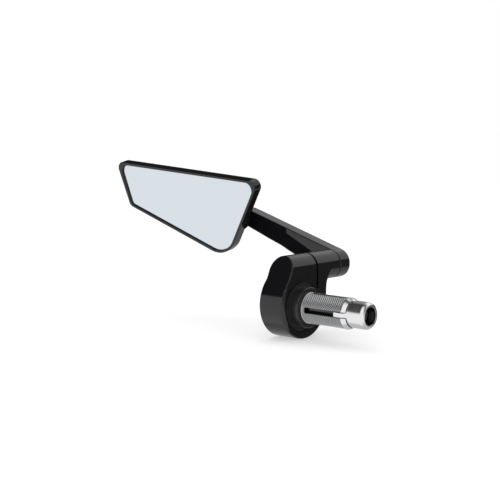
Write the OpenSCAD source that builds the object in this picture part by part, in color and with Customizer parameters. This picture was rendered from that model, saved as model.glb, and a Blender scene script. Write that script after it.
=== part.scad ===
// Bar-end mirror: expanding bar plug, split hub, pivoting arm and ball-jointed mirror head.
// Frame: +X points inboard along the handlebar axis, +Y is the pivot axis of the arm
// (away from the rider), +Z is up.  The origin lies on the bar axis, at the face of the
// collar where the end of the handlebar tube seats.

/* [Bar plug] */
// Outside diameter of the spacer ring, equal to the handlebar tube
bar_d = 22.2; // [21:0.1:25.4]
// Outside diameter of the expander sleeve
sleeve_d = 17; // [15.5:0.1:17.6]
// Length of the full-diameter part of the sleeve
sleeve_len = 27.4; // [24:0.2:34]
// Length of the chamfered sleeve end
sleeve_chamfer = 2; // [1:0.1:2.6]
// Width of the four expansion slots
slot_w = 3; // [2.4:0.1:3.1]
// Distance from the bar seat to the closed end of a slot
slot_start = 2.7; // [2:0.1:6]
// Distance from the bar seat to the end of the cone nose
plug_len = 40.4; // [38:0.2:46]
// Diameter of the cone nose
nose_d = 14.4; // [13.6:0.1:14.4]
// Bore at the mouth of the cone nose
nose_bore_d = 9.7; // [8.6:0.1:10]
// Nominal diameter of the expander screw
screw_d = 8; // [7.6:0.1:8]

/* [Hub] */
// Length of the hub along the bar axis
hub_len = 16.2; // [15:0.1:18]
// Outer radius of the hub lobe
hub_r = 19.1; // [18.6:0.1:20]
// Outer radius of the collar that fills the hub bore
collar_r = 13.7; // [12.8:0.1:13.9]
// Length of the spacer ring in front of the hub
spacer_len = 5.2; // [4:0.1:8]
// Height of the arm pivot axis over the bar axis
pivot_z = 19.6; // [19:0.1:22]
// Width of the saw slit across the boss
slit_w = 1.5; // [0.6:0.1:1.8]

/* [Arm] */
// Radius of the knuckle on the pivot axis
knuckle_r = 8.1; // [7.6:0.1:8.4]
// Width of the arm along the pivot axis
arm_w = 8.8; // [8:0.1:10]
// Radius of the rounded far end of the arm
tip_r = 5; // [4.8:0.1:6]
// Distance along the bar axis from the pivot to the ball
reach_x = 64.3; // [55:0.5:80]
// Rise from the pivot to the ball
reach_z = 22.8; // [16:0.4:26]

/* [Mirror head] */
// Depth of the head from front rim to back face
head_depth = 6; // [5.8:0.1:7]
// Width of the front rim around the glass
rim_w = 1.5; // [1.2:0.1:2]
// Depth of the glass below the front rim
glass_recess = 1.2; // [1:0.1:1.4]
// Thickness of the glass
glass_t = 1.6; // [1.4:0.1:1.8]
// Rest angle of the head about the bar direction
head_tilt = 12; // [8:1:14]

/* [Ball joint] */
// Radius of the ball
ball_r = 4; // [3.9:0.05:4]
// Wall of the bearing shells around the ball
shell_t = 0.84; // [0.7:0.02:0.86]
// Radius of the socket boss on the back of the head
socket_r = 7.8; // [7.4:0.1:8.2]

/* [Hidden] */
$fn = 96;
eps = 0.01;
run_gap = 0.05;
arc_steps = 24;
thin_gap = 0.04;

hub_front = -spacer_len;
hub_back = hub_front - hub_len;
pivot_x = hub_front - knuckle_r;
boss_y = 33.4;
arm_y = 33.8;
arm_back = arm_y + arm_w;
lobe = [2, 1.2];
sleeve_r = sleeve_d / 2;
sleeve_end = sleeve_len + sleeve_chamfer;
sleeve_tip_r = sleeve_r - 0.7;
root_r = 7;
root_len = 8;
screw_r = screw_d / 2 - thin_gap;
sleeve_bore_r = 4.7;
taper_x = 20.6;
taper_r0 = 5.9;
taper_r1 = 7.3;
taper_k = (taper_r1 - taper_r0) / (sleeve_end - taper_x);
cone_gap = 0.35;
cone_x = 22.4;
nose_r = nose_d / 2;
nose_x = taper_x + (nose_r - taper_r0 + cone_gap) / taper_k;
nose_chamfer = 0.7;
key_w = slot_w - 0.5;
key_r = sleeve_r - 0.2;
key_end = sleeve_end + 2.6;
key_slope = 2;
thread_end = plug_len - 7;
screw_end = plug_len - 4.4;
head_r = 6.4;
head_front = -13.6;
washer_t = 1.4;
well_r = 7.1;
well_end = head_front + washer_t;
web_hole_r = 4.4;
collar_chamfer = 0.5;
hub_bore_r = collar_r + run_gap;

slit_y = 12.9;
slit_z = 9.3;
bolt_r = 3;
bolt_y0 = -2;
bolt_clear_r = 3.4;
bolt_head_r = 5;
bolt_head_h = 2.9;
bolt_washer_t = 0.9;
bolt_seat_y = 38.5;
knuckle_well_r = 5.7;
bush_r = 4.5;
bush_wall = 1.44;
edge_lean = [0.4005, 0.9163];
edge_point = [-9.2, 19.45];
left_fillet = 10;
right_fillet = [34.6, 7.7, 13.5];
boss_top = pivot_z + knuckle_r;

ball_x = pivot_x - reach_x;
ball_y = 27.6;
ball_z = pivot_z + reach_z;
arm_knee = [pivot_x - 36.3, pivot_z + 7.6];
stud_neck_r = 2;
stud_flange_r = 3.6;
stud_flange_y = 4.5;
stud_thread_r = 2.5;
stud_thread_y = 13;
stud_washer_t = 0.3;
stud_hex = 6;

shell_in = ball_r + thin_gap;
shell_out = shell_in + shell_t;
seat_r = shell_out + thin_gap;
rear_from = 42;
rear_to = 78;
front_from = 118;
front_to = 180;

rim_y = -9.75;
back_y = rim_y + head_depth;
glass_y = rim_y + glass_recess;
pad_y = glass_y + glass_t;
pad_t = 0.5;
floor_y = pad_y + pad_t;
ring_t = 1.1;
ring_r = 6.7;
ring_hole_r = 3;
cup_r = 5.45;
cup_y = floor_y + ring_t;
cup_back = -1.05;
cup_hole_r = 1.6;
socket_y = 2.2;
socket_chamfer = 0.8;
mouth_depth = 0.8;
mouth_r0 = 3.9;
mouth_r1 = 4.9;
pin_hole_r = 0.55;
pin_pcd_r = 4.9;

// Corner points of the head outline around the ball centre, clockwise from top left
head_corners = [[-89.6, 34.1], [28.8, 25.35], [-4.6, -23.8], [-83.3, 5.3]];
head_radii = [4.5, 4.2, 17, 4];
glass_radii = [5, 4.4, 15.5, 2.8];
// The rim widens a little at its far top corner
pocket_shift = [[0.8, -0.4], [0, 0], [0, 0], [0, 0]];
glass_gap = 0.15;

// ---- helpers ----

function unit(v) = v / norm(v);
function rot90(v) = [-v.y, v.x];
function polar(r, a) = [r * cos(a), r * sin(a)];

// Point where a line through p along u meets a line through q along v
function meet(p, u, q, v) = p + u * ((q - p) * rot90(v)) / (u * rot90(v));

// Corner of a clockwise outline moved inward by d
function inset_corner(c, i, d) =
    let (
        n = len(c),
        a = unit(c[i] - c[(i + n - 1) % n]),
        b = unit(c[(i + 1) % n] - c[i])
    )
    meet(c[i] - rot90(a) * d, a, c[i] - rot90(b) * d, b);

function inset(c, d) = [for (i = [0 : len(c) - 1]) inset_corner(c, i, d)];

// Corners of the pocket behind the rim, moved inward by gap
function pocket_corners(gap) = inset(inset(head_corners, rim_w) + pocket_shift, gap);

// Angles of the outer tangent from circle (a, ra) to circle (b, rb); side is +1 or -1
function tangent_angle(a, ra, b, rb, side) =
    let (d = b - a)
    atan2(d.y, d.x) + side * acos((ra - rb) / norm(d));

// Solid of revolution about the bar axis from [x, radius] points
module lathe(points) {
    rotate([0, 90, 0])
        rotate_extrude()
            polygon([for (p = points) [p.y, p.x]]);
}

// Rod along the bar axis from x0 to x1
module rod_x(r, x0, x1) {
    translate([x0, 0, 0])
        rotate([0, 90, 0])
            cylinder(r = r, h = x1 - x0);
}

// Rod along the pivot direction from y0 to y1
module rod_y(r, y0, y1) {
    translate([0, y0, 0])
        rotate([-90, 0, 0])
            cylinder(r = r, h = y1 - y0);
}

// Hexagonal recess along the pivot direction, across-flats af
module hex_y(af, y0, y1) {
    translate([0, y0, 0])
        rotate([-90, 0, 0])
            cylinder(r = af / 2 / cos(30), h = y1 - y0, $fn = 6);
}

// Flat ring along the pivot direction
module ring_y(r_out, r_in, y0, y1) {
    difference() {
        rod_y(r_out, y0, y1);
        rod_y(r_in, y0 - 1, y1 + 1);
    }
}

// Extrudes an outline drawn as [x, z] along the pivot direction from y0 to y1
module plate_y(y0, y1) {
    translate([0, y1, 0])
        rotate([90, 0, 0])
            linear_extrude(y1 - y0)
                children();
}

// Extrudes an outline drawn as [y, z] along the bar direction from x0 to x1
module plate_x(x0, x1) {
    translate([x0, 0, 0])
        rotate([90, 0, 90])
            linear_extrude(x1 - x0)
                children();
}

// Points along an arc round c from angle a0 to angle a1
function arc(c, r, a0, a1) = [for (i = [0 : arc_steps]) c + polar(r, a0 + (a1 - a0) * i / arc_steps)];

// Arc that rounds corner i of a clockwise convex outline
function corner_arc(c, i, r) =
    let (
        n = len(c),
        back = unit(c[(i + n - 1) % n] - c[i]),
        next = unit(c[(i + 1) % n] - c[i]),
        turn = 180 - acos(back * next),
        centre = c[i] + unit(back + next) * r / cos(turn / 2),
        from = atan2(-back.x, back.y)
    )
    arc(centre, r, from, from - turn);

// Convex clockwise outline with a radius at each corner
module rounded_outline(c, r) {
    polygon([for (i = [0 : len(c) - 1]) each corner_arc(c, i, r[i])]);
}

// Places head parts: ball centre as origin, tilted by the rest angle
module head_frame() {
    translate([ball_x, ball_y, ball_z])
        rotate([head_tilt, 0, 0])
            children();
}

// Places stud parts: ball centre as origin, square to the arm
module stud_frame() {
    translate([ball_x, ball_y, ball_z])
        children();
}

// Places parts on the arm pivot axis
module pivot_frame() {
    translate([pivot_x, 0, pivot_z])
        children();
}

// Spherical shell band around the local +Y axis between two polar angles
module shell_band(r_in, r_out, from, to) {
    far = r_out * 3;
    rotate([-90, 0, 0])
        rotate_extrude()
            intersection() {
                difference() {
                    circle(r = r_out);
                    circle(r = r_in);
                }
                polygon([
                    [0, 0],
                    far * [sin(from), cos(from)],
                    far * [sin((from + to) / 2), cos((from + to) / 2)],
                    far * [max(sin(to), 0), cos(to)]
                ]);
            }
}

// Spherical seat cut around the local Y axis between two heights
module seat_cut(y0, y1) {
    rotate([-90, 0, 0])
        rotate_extrude()
            intersection() {
                circle(r = seat_r);
                translate([0, y0])
                    square([seat_r + 1, y1 - y0]);
            }
}

// ---- bar plug ----

module bar_collar() {
    color("#16171a")
        difference() {
            lathe([
                [hub_back, 0],
                [hub_back, collar_r - collar_chamfer],
                [hub_back + collar_chamfer, collar_r],
                [hub_front - collar_chamfer, collar_r],
                [hub_front, collar_r - collar_chamfer],
                [hub_front, bar_d / 2],
                [-collar_chamfer, bar_d / 2],
                [0, bar_d / 2 - collar_chamfer],
                [0, 0]
            ]);
            rod_x(well_r, hub_back - 1, well_end);
            rod_x(web_hole_r, hub_back, 1);
            rod_x(root_r, -root_len, 1);
        }
}

module expander_sleeve() {
    // The turned body starts between two slots, not on one
    color("#a9adb2")
        difference() {
            rotate([45, 0, 0])
                lathe([
                    [-root_len, 0],
                    [-root_len, root_r],
                    [0, root_r],
                    [0, sleeve_r],
                    [sleeve_len, sleeve_r],
                    [sleeve_end, sleeve_tip_r],
                    [sleeve_end, 0]
                ]);
            rod_x(sleeve_bore_r, -root_len - 1, sleeve_end);
            lathe([
                [taper_x - 2, 0],
                [taper_x - 2, sleeve_bore_r],
                [taper_x, taper_r0],
                [sleeve_end + 1, taper_r1 + taper_k],
                [sleeve_end + 1, 0]
            ]);
            for (a = [0 : 90 : 270])
                rotate([a, 0, 0])
                    translate([slot_start, -slot_w / 2, 0])
                        cube([sleeve_end, slot_w, sleeve_r * 2]);
        }
}

module cone_key() {
    rotate([90, 0, 0])
        translate([0, 0, -key_w / 2])
            linear_extrude(key_w)
                polygon([
                    [cone_x, sleeve_bore_r],
                    [cone_x, key_r],
                    [key_end - key_slope, key_r],
                    [key_end, nose_r - 0.2],
                    [key_end, sleeve_bore_r]
                ]);
}

module expander_cone() {
    color("#d9dbde")
        difference() {
            union() {
                lathe([
                    [cone_x, 0],
                    [cone_x, taper_r0 - cone_gap + (cone_x - taper_x) * taper_k],
                    [nose_x, nose_r],
                    [plug_len - nose_chamfer, nose_r],
                    [plug_len, nose_r - nose_chamfer],
                    [plug_len, 0]
                ]);
                for (a = [0 : 90 : 270])
                    rotate([a, 0, 0])
                        cone_key();
            }
            rod_x(screw_d / 2, cone_x - 1, plug_len);
            lathe([
                [thread_end, 0],
                [thread_end, nose_bore_d / 2],
                [plug_len - nose_chamfer, nose_bore_d / 2],
                [plug_len + eps, nose_bore_d / 2 + nose_chamfer],
                [plug_len + eps, 0]
            ]);
        }
}

module expander_screw() {
    color("#2a2b2e")
        difference() {
            lathe([
                [hub_back + 0.4, 0],
                [hub_back + 0.4, head_r - 0.6],
                [hub_back + 1, head_r],
                [head_front, head_r],
                [head_front, screw_r],
                [screw_end - 0.8, screw_r],
                [screw_end, screw_r - 0.8],
                [screw_end, 0]
            ]);
            translate([hub_back, 0, 0])
                rotate([0, 90, 0])
                    cylinder(r = 3 / cos(30), h = 4.4, $fn = 6);
        }
}

module screw_washer() {
    color("#8d9196")
        difference() {
            rod_x(head_r, head_front + run_gap, well_end);
            rod_x(web_hole_r, head_front - 1, well_end + 1);
        }
}

// ---- hub ----

// Side view of the hub as [y, z]: lobe, leaning outboard edge and concave neck
module hub_outline() {
    out = [-edge_lean.y, edge_lean.x];
    w = edge_point + left_fillet * out - lobe;
    s = -w * edge_lean + sqrt(pow(w * edge_lean, 2) - w * w + pow(hub_r + left_fillet, 2));
    fillet = edge_point + s * edge_lean + left_fillet * out;
    top_left = edge_point + edge_lean * (boss_top - edge_point.y) / edge_lean.y;
    difference() {
        union() {
            translate(lobe)
                circle(r = hub_r);
            polygon([
                top_left,
                edge_point + s * edge_lean,
                lobe + hub_r * unit(fillet - lobe),
                lobe,
                [lobe.x + hub_r, lobe.y],
                [lobe.x + hub_r, right_fillet.y],
                [boss_y, right_fillet.y],
                [boss_y, boss_top]
            ]);
        }
        translate(fillet)
            circle(r = left_fillet);
        translate([right_fillet.x, right_fillet.y])
            circle(r = right_fillet.z);
    }
}

// End view of the hub as [x, z]: a slab that ends in the half round of the boss
module hub_end_outline() {
    translate([hub_back, -hub_r * 2])
        square([hub_len, hub_r * 2 + pivot_z]);
    translate([pivot_x, pivot_z])
        circle(r = hub_len / 2);
}

module hub_body() {
    color("#101113")
        difference() {
            union() {
                intersection() {
                    plate_x(hub_back, hub_front)
                        hub_outline();
                    plate_y(-hub_r * 2, boss_y)
                        hub_end_outline();
                }
                pivot_frame()
                    rod_y(knuckle_r, slit_y, boss_y);
            }
            rod_x(hub_bore_r, hub_back - 1, hub_front + 1);
            translate([hub_back - 1, slit_y - slit_w / 2, slit_z])
                cube([hub_len + 2, slit_w, boss_top]);
            translate([0, slit_y, slit_z])
                rod_x(slit_w / 2, hub_back - 1, hub_front + 1);
            pivot_frame() {
                rod_y(bolt_r, bolt_y0, boss_y + 1);
                rod_y(bolt_clear_r, slit_y, boss_y + 1);
            }
        }
}

module pivot_bolt() {
    head_y = bolt_seat_y + run_gap + bolt_washer_t;
    color("#26272a")
        pivot_frame()
            difference() {
                union() {
                    rod_y(bolt_r, bolt_y0, head_y);
                    rod_y(bolt_head_r, head_y, head_y + bolt_head_h);
                }
                hex_y(4, head_y + 0.6, head_y + bolt_head_h + 1);
            }
}

module bolt_washer() {
    color("#8d9196")
        pivot_frame()
            ring_y(bolt_head_r, bolt_r, bolt_seat_y + run_gap, bolt_seat_y + run_gap + bolt_washer_t);
}

module friction_washer() {
    color("#2f3032")
        pivot_frame()
            ring_y(knuckle_r - 0.5, bolt_clear_r, boss_y, arm_y - run_gap);
}

// ---- arm ----

// Side view of the arm as [x, z]: knuckle, straight top edge, tip and the kneed lower edge
module arm_outline() {
    hub_c = [pivot_x, pivot_z];
    tip_c = [ball_x, ball_z];
    top = tangent_angle(hub_c, knuckle_r, tip_c, tip_r, -1);
    low = tangent_angle(hub_c, knuckle_r, arm_knee, 0, 1) - 360;
    tip = tangent_angle(tip_c, tip_r, arm_knee, 0, -1) + 360;
    polygon([
        each arc(hub_c, knuckle_r, low, top),
        each arc(tip_c, tip_r, top, tip),
        arm_knee
    ]);
}

module arm() {
    color("#121316")
        difference() {
            plate_y(arm_y, arm_back)
                arm_outline();
            pivot_frame() {
                rod_y(bush_r, arm_y - 1, arm_back);
                rod_y(knuckle_well_r, bolt_seat_y, arm_back + 1);
            }
            stud_frame()
                rod_y(stud_thread_r, 0, stud_thread_y + 0.6);
        }
}

module pivot_bush() {
    color("#9a8f6a")
        pivot_frame()
            ring_y(bush_r, bush_r - bush_wall, arm_y, bolt_seat_y);
}

module ball_stud() {
    arm_face = arm_y - ball_y;
    color("#b9bcc0")
        stud_frame() {
            difference() {
                union() {
                    sphere(r = ball_r);
                    rod_y(stud_neck_r, 0, stud_flange_y + eps);
                    rod_y(stud_flange_r, stud_flange_y, arm_face - stud_washer_t);
                    rod_y(stud_thread_r, stud_flange_y, stud_thread_y);
                }
                for (a = [0 : 60 : 300])
                    rotate([0, a, 0])
                        translate([stud_hex / 2, stud_flange_y - 1, -stud_flange_r])
                            cube([2, 4, stud_flange_r * 2]);
            }
        }
}

module stud_washer() {
    arm_face = arm_y - ball_y;
    color("#8d9196")
        stud_frame()
            ring_y(stud_flange_r + 0.1, stud_thread_r, arm_face - stud_washer_t, arm_face);
}

// ---- ball joint shells ----

module rear_shell() {
    color("#3a3b3d")
        stud_frame()
            shell_band(shell_in, shell_out, rear_from, rear_to);
}

module front_shell() {
    color("#3a3b3d")
        stud_frame()
            shell_band(shell_in, shell_out, front_from, front_to);
}

// ---- mirror head ----

module head_outline() {
    rounded_outline(head_corners, head_radii);
}

module pocket_outline() {
    rounded_outline(pocket_corners(0), glass_radii);
}

module glass_outline(gap) {
    rounded_outline(pocket_corners(gap), [for (r = glass_radii) r - gap]);
}

module mirror_frame() {
    color("#0f1012")
        head_frame()
            difference() {
                union() {
                    plate_y(rim_y, back_y)
                        head_outline();
                    rod_y(socket_r, floor_y + 1, socket_y - socket_chamfer);
                    translate([0, socket_y - socket_chamfer, 0])
                        rotate([-90, 0, 0])
                            cylinder(r1 = socket_r, r2 = socket_r - socket_chamfer, h = socket_chamfer);
                }
                plate_y(rim_y - 1, floor_y)
                    pocket_outline();
                rod_y(ring_r, floor_y - 1, cup_y);
                rod_y(cup_r, cup_y - 1, cup_back);
                seat_cut(cup_back - 1, socket_y + eps);
                translate([0, socket_y - mouth_depth, 0])
                    rotate([-90, 0, 0])
                        cylinder(r1 = mouth_r0, r2 = mouth_r1, h = mouth_depth + eps);
            }
}

module ball_cup() {
    color("#c9c7bd")
        head_frame()
            difference() {
                rod_y(cup_r, cup_y, cup_back);
                sphere(r = seat_r);
                rod_y(cup_hole_r, cup_y - 1, 0);
            }
}

module retainer_ring() {
    color("#7c8085")
        head_frame()
            difference() {
                rod_y(ring_r, floor_y, cup_y);
                rod_y(ring_hole_r, floor_y - 1, cup_y + 1);
                for (a = [45 : 90 : 315])
                    rotate([0, a, 0])
                        translate([pin_pcd_r, 0, 0])
                            rod_y(pin_hole_r, floor_y - 1, cup_y + 1);
            }
}

module glass_pad() {
    color("#1b1b1b")
        head_frame()
            plate_y(pad_y, floor_y)
                glass_outline(glass_gap * 8);
}

module mirror_glass() {
    color("#d7dee8")
        head_frame()
            plate_y(glass_y, pad_y)
                glass_outline(glass_gap);
}

bar_collar();
expander_sleeve();
expander_cone();
expander_screw();
screw_washer();
hub_body();
pivot_bolt();
bolt_washer();
friction_washer();
arm();
pivot_bush();
ball_stud();
stud_washer();
rear_shell();
front_shell();
mirror_frame();
ball_cup();
retainer_ring();
glass_pad();
mirror_glass();
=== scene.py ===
"""Bar-end mirror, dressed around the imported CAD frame.

The CAD frame has +X along the handlebar towards the plug nose, +Y along the arm pivot and
+Z up, with its origin on the bar axis at the seat of the handlebar tube.  Lengths in the
classes below are millimetres, because that is how the parts are drawn; every mesh is
written in metres.
"""

import logging
import math
from dataclasses import dataclass
from enum import Enum
from typing import Any, Callable, Sequence

import bmesh
import bpy
import numpy as np
from mathutils import Matrix, Vector


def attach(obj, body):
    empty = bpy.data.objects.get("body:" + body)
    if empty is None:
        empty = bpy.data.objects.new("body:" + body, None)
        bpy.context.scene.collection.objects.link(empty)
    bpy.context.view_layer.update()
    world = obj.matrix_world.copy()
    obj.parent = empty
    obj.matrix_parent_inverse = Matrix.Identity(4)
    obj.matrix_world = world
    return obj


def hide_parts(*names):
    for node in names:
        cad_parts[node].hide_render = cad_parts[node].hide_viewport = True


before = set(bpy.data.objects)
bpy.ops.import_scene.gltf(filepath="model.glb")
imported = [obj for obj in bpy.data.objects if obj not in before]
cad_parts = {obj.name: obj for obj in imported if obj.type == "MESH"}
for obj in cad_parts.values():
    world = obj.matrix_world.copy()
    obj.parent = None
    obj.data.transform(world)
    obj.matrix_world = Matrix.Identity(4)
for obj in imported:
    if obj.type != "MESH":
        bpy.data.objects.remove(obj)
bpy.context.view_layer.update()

MM = 0.001
# How far a cutter reaches past the face it cuts through, in millimetres.
PAST = 1.0
# Edges that turn by more than this stay sharp.
SMOOTH_LIMIT = math.radians(32)
# Points closer than this become one.
WELD = 0.0002 * MM
# Height, fineness and contrast of the fine marks of every finish.
MARK_RELIEF = 0.02 * MM
MARK_DETAIL = 4.0
MARK_ROUGHNESS = 0.6

Pair = tuple[float, float]
Place = tuple[float, float, float]
Points = np.ndarray
Field = Callable[[np.ndarray, np.ndarray, np.ndarray], np.ndarray]
Piece = bpy.types.Object
Socket = bpy.types.NodeSocket
Tree = bpy.types.NodeTree

log = logging.getLogger("bar_end_mirror")


# ---------------------------------------------------------------- plane geometry


def unit(v: Sequence[float]) -> np.ndarray:
    """A vector scaled to length one."""
    a = np.asarray(v, float)
    return a / np.linalg.norm(a)


def arc(centre: Sequence[float], radius: float, start: float, end: float, steps: int) -> Points:
    """Points on an arc.

    Args:
        centre: Centre of the arc.
        radius: Radius of the arc.
        start: First angle in degrees.
        end: Last angle in degrees.
        steps: Number of segments.

    Returns:
        The steps + 1 points, as rows.
    """
    a = np.radians(np.linspace(start, end, steps + 1))
    return np.asarray(centre, float) + radius * np.column_stack((np.cos(a), np.sin(a)))


def corner_arc(before: Points, corner: Points, after: Points, radius: float, steps: int) -> Points:
    """Replaces one corner of a path by an arc that is tangent to both sides.

    Args:
        before: Point before the corner.
        corner: The corner itself.
        after: Point after the corner.
        radius: Radius of the arc; zero keeps the corner.
        steps: Number of segments.

    Returns:
        The arc's points, or the corner alone.
    """
    back = unit(before - corner)
    ahead = unit(after - corner)
    half = math.acos(float(np.clip(back @ ahead, -1, 1))) / 2
    if radius <= 0 or half > math.pi / 2 - 1e-3:
        return corner[None]
    reach = radius / math.tan(half)
    centre = corner + unit(back + ahead) * radius / math.sin(half)
    first = corner + back * reach - centre
    last = corner + ahead * reach - centre
    a0 = math.atan2(first[1], first[0])
    turn = math.remainder(math.atan2(last[1], last[0]) - a0, math.tau)
    return arc(centre, radius, math.degrees(a0), math.degrees(a0 + turn), steps)


def eased_path(path: Sequence[Sequence[float]], steps: int = 5) -> Points:
    """An open path of (x, r, easing) rows with each inner corner rounded by its easing."""
    rows = np.asarray(path, float)
    out = [rows[:1, :2]]
    for i in range(1, len(rows) - 1):
        p = rows[i - 1 : i + 2, :2]
        out.append(corner_arc(p[0], p[1], p[2], rows[i, 2], steps))
    out.append(rows[-1:, :2])
    return np.vstack(out)


def quarter_round(steps: int) -> list[Pair]:
    """Steps of a rounded edge: what is left on one side and gained on the other, as shares."""
    a = np.radians(np.linspace(0, 90, steps))
    return list(zip(1 - np.sin(a), 1 - np.cos(a)))


def bar_ring(x: float, r: np.ndarray, a: np.ndarray) -> Points:
    """One ring of points about the bar axis, with radii r at the angles a."""
    return np.column_stack((np.full(len(a), x), r * np.cos(a), r * np.sin(a)))


def inset_corners(corners: Points, depth: float) -> Points:
    """Corners of a clockwise outline moved inward by depth on every side."""
    moved = []
    for i, c in enumerate(corners):
        a = unit(c - corners[i - 1])
        b = unit(corners[(i + 1) % len(corners)] - c)
        na, nb = np.array((a[1], -a[0])), np.array((b[1], -b[0]))
        moved.append(c + depth * (na + nb) / (1 + na @ nb))
    return np.array(moved)


class Outline:
    """A closed outline in a plane, which can say how far any place is from it."""

    def __init__(self, points: Points) -> None:
        """Keeps the outline's points, in order."""
        self.points = np.asarray(points, float)

    def distance(self, u: np.ndarray, v: np.ndarray) -> np.ndarray:
        """Signed distance to the outline.

        Args:
            u: First coordinates.
            v: Second coordinates.

        Returns:
            Distances, negative inside.
        """
        u, v = np.broadcast_arrays(u, v)
        best = np.full(u.shape, np.inf)
        inside = np.zeros(u.shape, bool)
        for p, q in zip(self.points, np.roll(self.points, -1, axis=0)):
            e = q - p
            length = e @ e
            if length < 1e-12:
                continue
            du, dv = u - p[0], v - p[1]
            t = np.clip((du * e[0] + dv * e[1]) / length, 0, 1)
            best = np.minimum(best, (du - t * e[0]) ** 2 + (dv - t * e[1]) ** 2)
            if p[1] != q[1]:
                crosses = (p[1] <= v) != (q[1] <= v)
                inside ^= crosses & (u < p[0] + dv * e[0] / e[1])
        return np.where(inside, -np.sqrt(best), np.sqrt(best))


# ---------------------------------------------------------------- distance fields


def eased_both(a: np.ndarray, b: np.ndarray, radius: float) -> np.ndarray:
    """Field of what lies in both bodies, with a rounded edge where they meet."""
    edge = np.hypot(np.maximum(a + radius, 0), np.maximum(b + radius, 0))
    return np.minimum(np.maximum(a, b), -radius) + edge


@dataclass(frozen=True)
class NetGrid:
    """A block of cells in which a distance field is turned into a surface.

    One point is placed in each cell that the surface crosses and then pulled onto the
    surface along the field's slope.
    """

    low: Place
    high: Place
    cell: float
    pulls: int = 4

    def _axes(self) -> list[np.ndarray]:
        """Grid coordinates along each axis."""
        return [
            lo + self.cell * np.arange(math.ceil((hi - lo) / self.cell) + 1)
            for lo, hi in zip(self.low, self.high)
        ]

    def _pull(self, solid: Field, p: Points) -> Points:
        """Moves points onto the surface of a field."""
        h = self.cell / 12
        for _ in range(self.pulls):
            value = solid(p[:, 0], p[:, 1], p[:, 2])
            slope = np.empty_like(p)
            for i in range(3):
                q = p.copy()
                q[:, i] += h
                slope[:, i] = (solid(q[:, 0], q[:, 1], q[:, 2]) - value) / h
            step = slope * (value / np.maximum((slope**2).sum(1), 0.2))[:, None]
            p = p - np.clip(step, -self.cell / 2, self.cell / 2)
        return p

    def surface(self, solid: Field) -> tuple[Points, np.ndarray]:
        """Finds the surface of a field.

        Args:
            solid: The distance field, negative inside.

        Returns:
            The points, and the four-sided faces as rows of point numbers.
        """
        xs, ys, zs = self._axes()
        value = solid(xs[:, None, None], ys[None, :, None], zs[None, None, :])
        inside = value < 0
        total = np.zeros((*(n - 1 for n in value.shape), 3))
        count = np.zeros(total.shape[:3])
        found = []
        for axis in range(3):
            b, c = (axis + 1) % 3, (axis + 2) % 3
            near = [slice(None)] * 3
            far = [slice(None)] * 3
            near[axis], far[axis] = slice(0, -1), slice(1, None)
            at = np.argwhere(inside[tuple(near)] != inside[tuple(far)])
            end = at.copy()
            end[:, axis] += 1
            v0, v1 = value[tuple(at.T)], value[tuple(end.T)]
            where = at.astype(float)
            where[:, axis] += v0 / (v0 - v1)
            ring = []
            for ob, oc in ((-1, -1), (0, -1), (0, 0), (-1, 0)):
                cell = at.copy()
                cell[:, b] += ob
                cell[:, c] += oc
                np.add.at(total, tuple(cell.T), where)
                np.add.at(count, tuple(cell.T), 1)
                ring.append(cell)
            found.append((np.stack(ring, 1), v0 < 0))
        active = count > 0
        number = np.full(count.shape, -1)
        number[active] = np.arange(int(active.sum()))
        points = np.array(self.low) + self.cell * total[active] / count[active][:, None]
        faces = []
        for ring, outward in found:
            quads = number[ring[..., 0], ring[..., 1], ring[..., 2]]
            quads[~outward] = quads[~outward][:, ::-1]
            faces.append(quads)
        return self._pull(solid, points), np.vstack(faces)


# ---------------------------------------------------------------- meshes


def piece_from(name: str, points: Points, faces: Sequence[Sequence[int]]) -> Piece:
    """Makes an object from points in millimetres.

    Args:
        name: The piece's name.
        points: Points as rows, in millimetres.
        faces: Faces as lists of point numbers.

    Returns:
        The object, welded, facing outward and linked to the scene.
    """
    mesh = bpy.data.meshes.new(name)
    mesh.from_pydata((np.asarray(points) * MM).tolist(), [], [list(map(int, f)) for f in faces])
    bm = bmesh.new()
    bm.from_mesh(mesh)
    bmesh.ops.remove_doubles(bm, verts=bm.verts, dist=WELD)
    bmesh.ops.recalc_face_normals(bm, faces=bm.faces)
    bm.to_mesh(mesh)
    bm.free()
    obj = bpy.data.objects.new(name, mesh)
    bpy.context.scene.collection.objects.link(obj)
    return obj


def loft(name: str, rings: Points, cyclic: bool = False) -> Piece:
    """Skins a stack of rings.

    Args:
        name: The piece's name.
        rings: Array of ring, point and coordinate, in millimetres.
        cyclic: Joins the last ring to the first; otherwise both ends are closed flat.

    Returns:
        The closed skin.
    """
    m, n = rings.shape[:2]
    i, j = np.meshgrid(np.arange(m if cyclic else m - 1), np.arange(n), indexing="ij")
    ahead, side = (i + 1) % m, (j + 1) % n
    quads = np.stack((i * n + j, i * n + side, ahead * n + side, ahead * n + j), -1)
    faces = [list(f) for f in quads.reshape(-1, 4)]
    if not cyclic:
        faces += [list(range(n)), list(range((m - 1) * n, m * n))]
    return piece_from(name, rings.reshape(-1, 3), faces)


def turned(name: str, path: Points, steps: int = 96, hollow: bool = False) -> Piece:
    """Turns a path of (x, radius) rows about the X axis."""
    a = np.arange(steps) * math.tau / steps
    x = np.repeat(path[:, :1], steps, axis=1)
    rings = np.stack((x, path[:, 1:] * np.cos(a), path[:, 1:] * np.sin(a)), -1)
    return loft(name, rings, cyclic=hollow)


def block(name: str, low: Sequence[float], high: Sequence[float]) -> Piece:
    """A plain box between two corners, used as a cutter."""
    (x0, y0, z0), (x1, y1, z1) = low, high
    ends = [[(x, y0, z0), (x, y1, z0), (x, y1, z1), (x, y0, z1)] for x in (x0, x1)]
    return loft(name, np.array(ends, float))


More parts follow.
